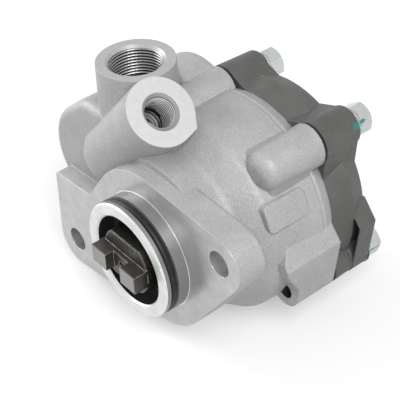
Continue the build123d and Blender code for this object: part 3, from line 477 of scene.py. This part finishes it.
def cast_housing():
    """Cast aluminium with a sandy grain, bright machined faces, and threads painted darker towards their
    roots as painted shade.
    """
    m = Finish("cast_housing")
    at = machined_places(m)
    machined = m.largest(at["faces"], at["rims"], at["bores"])
    tool_lines = m.lines(at["lines"], TOOL_LINES)
    metallic = {"faces": 0.52, "rims": 0.25, "bores": 0.75, "dark": 0.0}
    m.set(Base_Color=housing_tone(m, at, tool_lines),
          Metallic=m.layers(0.2, *[(at[place], value) for place, value in metallic.items()]),
          Roughness=m.layers(m.uneven(CAST_SHEEN, 0.46, 0.62), (machined, 0.34), (at["rims"], 0.42)))
    sand = m.bump(m.noise(*CAST_SAND), strength=0.5, distance=0.35 * MM, normal=m.soft_edges(1.1 * MM))
    sand = m.bump(m.noise(*CAST_DIMPLES), strength=0.18, distance=0.6 * MM, normal=sand)
    smooth = m.bump(tool_lines, strength=0.06, distance=0.05 * MM, normal=m.soft_edges(0.25 * MM))
    m.set(Normal=m.blend_normals(machined, sand, smooth))
    return m.material


def cast_cover():
    """Dark grey cast cover, with the fitter's paint dabs beside three of its bolts."""
    m = Finish("cast_cover")
    specks = m.mottle(m.noise(*COVER_SPECKS), COVER_SPECK_SHADES)
    cast = m.vector("MULTIPLY", m.mottle(m.noise(*COVER_CLOUDS), COVER_COLOURS), specks)
    colour, paint = m.dabbed(cast, COVER_DABS)
    m.set(Base_Color=colour,
          Metallic=0.2,
          Roughness=m.blend(paint, m.uneven(CAST_SHEEN, 0.46, 0.6), 0.35))
    sand = m.bump(m.noise(*COVER_SAND), strength=0.4, distance=0.3 * MM, normal=m.soft_edges(0.8 * MM))
    m.set(Normal=m.bump(m.noise(*COVER_DIMPLES), strength=0.15, distance=0.5 * MM, normal=sand))
    return m.material


def zinc_bolt():
    """Blue-white zinc plate with faint yellow patches, and the other half of the paint dabs."""
    m = Finish("zinc_bolt")
    colour, paint = m.dabbed(m.ramp(m.noise(*ZINC_CLOUDS), *ZINC_RAMP), BOLT_DABS)
    rounded = m.soft_edges(0.35 * MM)
    m.set(Base_Color=colour,
          Metallic=m.blend(paint, 0.75, 0.0),
          Roughness=m.uneven(ZINC_SHEEN, 0.18, 0.3),
          Normal=m.bump(m.noise(*ZINC_SKIN), strength=0.12, distance=0.1 * MM, normal=rounded))
    return m.material


def black_rubber():
    """Smooth moulded rubber with a dusting of pale bloom."""
    m = Finish("black_rubber")
    m.set(Base_Color=m.ramp(m.noise(*RUBBER_CLOUDS), *RUBBER_RAMP),
          Roughness=m.uneven(RUBBER_SHEEN, 0.4, 0.55),
          Specular_IOR_Level=0.3,
          Normal=m.bump(m.lines(m.coordinate("Y"), MOULD_LINES), strength=0.3, distance=0.15 * MM))
    return m.material


def sintered_steel():
    """Dark porous sintered steel, paler at its worn edges and at the tang's front face, with a rust fleck
    at the notch.
    """
    m = Finish("sintered_steel")
    rounded = m.soft_edges(0.5 * MM)
    flat = m.add("ShaderNodeNewGeometry").outputs["Normal"]
    alike = m.vector("DOT_PRODUCT", rounded, flat)
    edge = m.span(alike, low=0.86, high=0.99, out_low=1.0, out_high=0.0)
    patches = m.span(m.noise(*SINTERED_WEAR), low=0.4, high=0.6, out_low=0.1, out_high=1.0)
    colour = m.layers(m.mottle(m.noise(*SINTERED_CLOUDS), SINTERED_COLOURS),
                      (m.below(m.coordinate("Y"), TANG_TIP_Y + SKIN), TANG_TIP),
                      (m.both(edge, patches), SINTERED_WORN))
    m.set(Base_Color=m.dabbed(colour, DRIVER_DABS)[0],
          Metallic=0.95,
          Roughness=m.uneven(SINTERED_SHEEN, 0.36, 0.54),
          Normal=m.bump(m.noise(*SINTERED_PORES), strength=0.3, distance=0.2 * MM, normal=rounded))
    return m.material


def sleeve_steel():
    """Bright turned steel, stained amber by oil round its orifice, with painted shade at the orifice's
    edge and painted reflection rings down its cone.
    """
    m = Finish("sleeve_steel")
    radius = m.radius(PRESSURE.face, PRESSURE.direction)
    m.set(Base_Color=m.ramp(m.span(radius, SLEEVE_ORIFICE_R, SLEEVE_R, 0, 1), *SLEEVE_STAIN_AND_REFLECTION_RAMP),
          Metallic=0.6,
          Roughness=0.2,
          Normal=m.bump(m.lines(radius, TOOL_LINES), strength=0.08, distance=0.05 * MM))
    return m.material


def plain_metal(name, dark, light, metallic, roughness, line_scale):
    """Turned or ground metal: a slightly uneven tone, with fine lines round the shaft."""
    m = Finish(name)
    m.set(Base_Color=m.ramp(m.noise(*METAL_CLOUDS), *zip(METAL_RAMP_ENDS, (dark, light))),
          Metallic=metallic,
          Roughness=m.uneven(METAL_SHEEN, roughness - METAL_SHEEN_RANGE, roughness + METAL_SHEEN_RANGE),
          Normal=m.bump(m.lines(m.radius(CENTRE, SHAFT), line_scale), strength=0.08, distance=0.05 * MM))
    return m.material


FINISHES = {
    "cast_housing": cast_housing(),
    "cast_cover": cast_cover(),
    "zinc_bolt": zinc_bolt(),
    "black_rubber": black_rubber(),
    "sintered_steel": sintered_steel(),
    "sleeve_steel": sleeve_steel(),
}
for metal, looks in PLAIN_METALS.items():
    FINISHES[metal] = plain_metal(metal, *looks)

# CAD nodes by finish; the ones not named here are ground steel
DRESSED = {
    "cast_housing": ("housing",),
    "cast_cover": ("rear_cover",),
    "zinc_bolt": ("cover_bolts",),
    "black_rubber": ("pilot_o_ring", "cover_o_ring", "shaft_seal_lip"),
    "sintered_steel": ("coupling_driver", "cam_ring", "rotor"),
    "sleeve_steel": ("throttle_sleeve",),
    "dark_steel": ("shaft_seal_case", "bearing_retaining_ring", "bearing_clip", "rotor_clip",
                   "disc_spring", "sleeve_ring", "flow_spring"),
    "oiled_steel": ("flow_spool",),
    "bronze": ("bearing_cage", "rear_bush"),
    "hard_aluminium": ("front_pressure_plate", "rear_pressure_plate"),
}


def dress_nodes():
    finish_of = {node: finish for finish, nodes in DRESSED.items() for node in nodes}
    for name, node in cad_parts.items():
        for slot in node.material_slots:
            slot.material = FINISHES[finish_of.get(name, "ground_steel")]


def thread_tree():
    """Geometry nodes that wind one ridge round a bore."""
    tree = bpy.data.node_groups.new("screw_thread", "GeometryNodeTree")
    kinds = dict.fromkeys(("Bore radius", "Ridge height", "Turns", "Length"), "NodeSocketFloat")
    kinds["Finish"] = "NodeSocketMaterial"
    inputs = {}
    for name, kind in kinds.items():
        inputs[name] = tree.interface.new_socket(name, in_out="INPUT", socket_type=kind).identifier
    tree.interface.new_socket("Geometry", in_out="OUTPUT", socket_type="NodeSocketGeometry")
    given = tree.nodes.new("NodeGroupInput").outputs
    spiral = tree.nodes.new("GeometryNodeCurveSpiral")
    spiral.inputs["Resolution"].default_value = THREAD_STEPS
    ridge = tree.nodes.new("GeometryNodeCurvePrimitiveCircle")
    ridge.inputs["Resolution"].default_value = RIDGE_SIDES
    upright = tree.nodes.new("GeometryNodeSetCurveNormal")
    upright.mode = "Z_UP"
    wind = tree.nodes.new("GeometryNodeCurveToMesh")
    wind.inputs["Fill Caps"].default_value = True
    flat = tree.nodes.new("GeometryNodeSetShadeSmooth")
    flat.inputs["Shade Smooth"].default_value = False
    solid = tree.nodes.new("GeometryNodeRealizeInstances")
    coat = tree.nodes.new("GeometryNodeSetMaterial")
    result = tree.nodes.new("NodeGroupOutput")
    join = tree.links.new
    join(given["Turns"], spiral.inputs["Rotations"])
    join(given["Bore radius"], spiral.inputs["Start Radius"])
    join(given["Bore radius"], spiral.inputs["End Radius"])
    join(given["Length"], spiral.inputs["Height"])
    join(given["Ridge height"], ridge.inputs["Radius"])
    join(spiral.outputs["Curve"], upright.inputs["Curve"])
    join(upright.outputs["Curve"], wind.inputs["Curve"])
    join(ridge.outputs["Curve"], wind.inputs["Profile Curve"])
    join(wind.outputs["Mesh"], flat.inputs["Geometry"])
    join(flat.outputs["Geometry"], solid.inputs["Geometry"])
    join(solid.outputs["Geometry"], coat.inputs["Geometry"])
    join(given["Finish"], coat.inputs["Material"])
    join(coat.outputs["Geometry"], result.inputs["Geometry"])
    return tree, inputs


def screw_thread(port, tree, inputs):
    """One port's thread, as a plain mesh in its place."""
    maker = bpy.data.objects.new(port.thread, bpy.data.meshes.new(port.thread))
    bpy.context.scene.collection.objects.link(maker)
    nodes = maker.modifiers.new("thread", "NODES")
    nodes.node_group = tree
    length = port.thread_end - THREAD_START
    values = {"Bore radius": port.thread_r, "Ridge height": THREAD_HEIGHT, "Turns": length / THREAD_PITCH,
              "Length": length, "Finish": FINISHES["cast_housing"]}
    for name, value in values.items():
        nodes[inputs[name]] = value
    graph = bpy.context.evaluated_depsgraph_get()
    mesh = bpy.data.meshes.new_from_object(maker.evaluated_get(graph))
    maker.modifiers.remove(nodes)
    maker.data = mesh
    stand = port.direction.to_track_quat("Z", "Y").to_matrix().to_4x4()
    mesh.transform(Matrix.Translation(port.face - port.direction * port.thread_end) @ stand)
    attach(maker, "pump_body")


def port_threads():
    tree, inputs = thread_tree()
    for port in PORTS:
        screw_thread(port, tree, inputs)


def flow_spring():
    """The flow valve's spring, as a plain copy of its CAD node's coil; the node itself is hidden."""
    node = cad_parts["flow_spring"]
    coil = bpy.data.objects.new("flow_spring_coil", node.data.copy())
    coil.data.transform(node.matrix_world)
    bpy.context.scene.collection.objects.link(coil)
    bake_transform(coil)
    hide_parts("flow_spring")


def seen_or_mirrored(tree):
    """1 for rays that the camera sees, straight on, mirrored in metal or through glass."""
    path = tree.nodes.new("ShaderNodeLightPath").outputs
    seen = path["Is Camera Ray"]
    for kind in ("Is Glossy Ray", "Is Transmission Ray"):
        either = tree.nodes.new("ShaderNodeMath")
        either.operation = "MAXIMUM"
        tree.links.new(seen, either.inputs[0])
        tree.links.new(path[kind], either.inputs[1])
        seen = either.outputs["Value"]
    return seen


def floor():
    """Plain pale floor that keeps the shadow and looks white where nothing shades it."""
    mesh = bpy.data.meshes.new("floor")
    corners = [(-1, -1), (1, -1), (1, 1), (-1, 1)]
    mesh.from_pydata([(x * FLOOR_HALF, y * FLOOR_HALF, FLOOR_Z) for x, y in corners], [], [(0, 1, 2, 3)])
    plate = bpy.data.objects.new("floor", mesh)
    bpy.context.scene.collection.objects.link(plate)
    m = Finish("pale_floor")
    seen = seen_or_mirrored(m.tree)
    lift = m.span(m.radius(CENTRE, UP), FLOOR_NEAR, FLOOR_FAR, *FLOOR_LIFT)
    m.set(Base_Color=m.blend(seen, FLOOR_BOUNCE, FLOOR_GREY),
          Roughness=0.9,
          Emission_Color=WHITE,
          Emission_Strength=m.both(seen, lift))
    mesh.materials.append(m.material)


def lamp(name, place, power):
    data = bpy.data.lights.new(name, "AREA")
    data.shape = "DISK"
    data.size = LAMP_SIZE
    data.energy = power
    light = bpy.data.objects.new(name, data)
    light.location = place
    light.rotation_euler = (LIGHT_TARGET - Vector(place)).to_track_quat("-Z", "Y").to_euler()
    bpy.context.scene.collection.objects.link(light)


def studio():
    """Two soft lamps in a world that looks white and lights the pump less."""
    world = bpy.data.worlds.new("studio")
    world.use_nodes = True
    sky = world.node_tree.nodes["Background"]
    sky.inputs["Color"].default_value = WHITE
    strength = world.node_tree.nodes.new("ShaderNodeMapRange")
    strength.inputs["To Min"].default_value = SKY_LIGHT
    world.node_tree.links.new(seen_or_mirrored(world.node_tree), strength.inputs["Value"])
    world.node_tree.links.new(strength.outputs["Result"], sky.inputs["Strength"])
    bpy.context.scene.world = world
    for name, (place, power) in LAMPS.items():
        lamp(name, place, power)


def camera():
    data = bpy.data.cameras.new("camera")
    data.sensor_width = CAMERA_SENSOR_MM
    data.lens = CAMERA_LENS_MM
    eye = bpy.data.objects.new("camera", data)
    turn = Matrix((CAMERA_RIGHT, CAMERA_UP, CAMERA_BACK)).transposed()
    eye.matrix_world = Matrix.Translation(CAMERA_PLACE) @ turn.to_4x4()
    bpy.context.scene.collection.objects.link(eye)
    bpy.context.scene.camera = eye


dress_nodes()
port_threads()
flow_spring()
floor()
studio()
camera()
bpy.context.scene.view_settings.view_transform = "Standard"
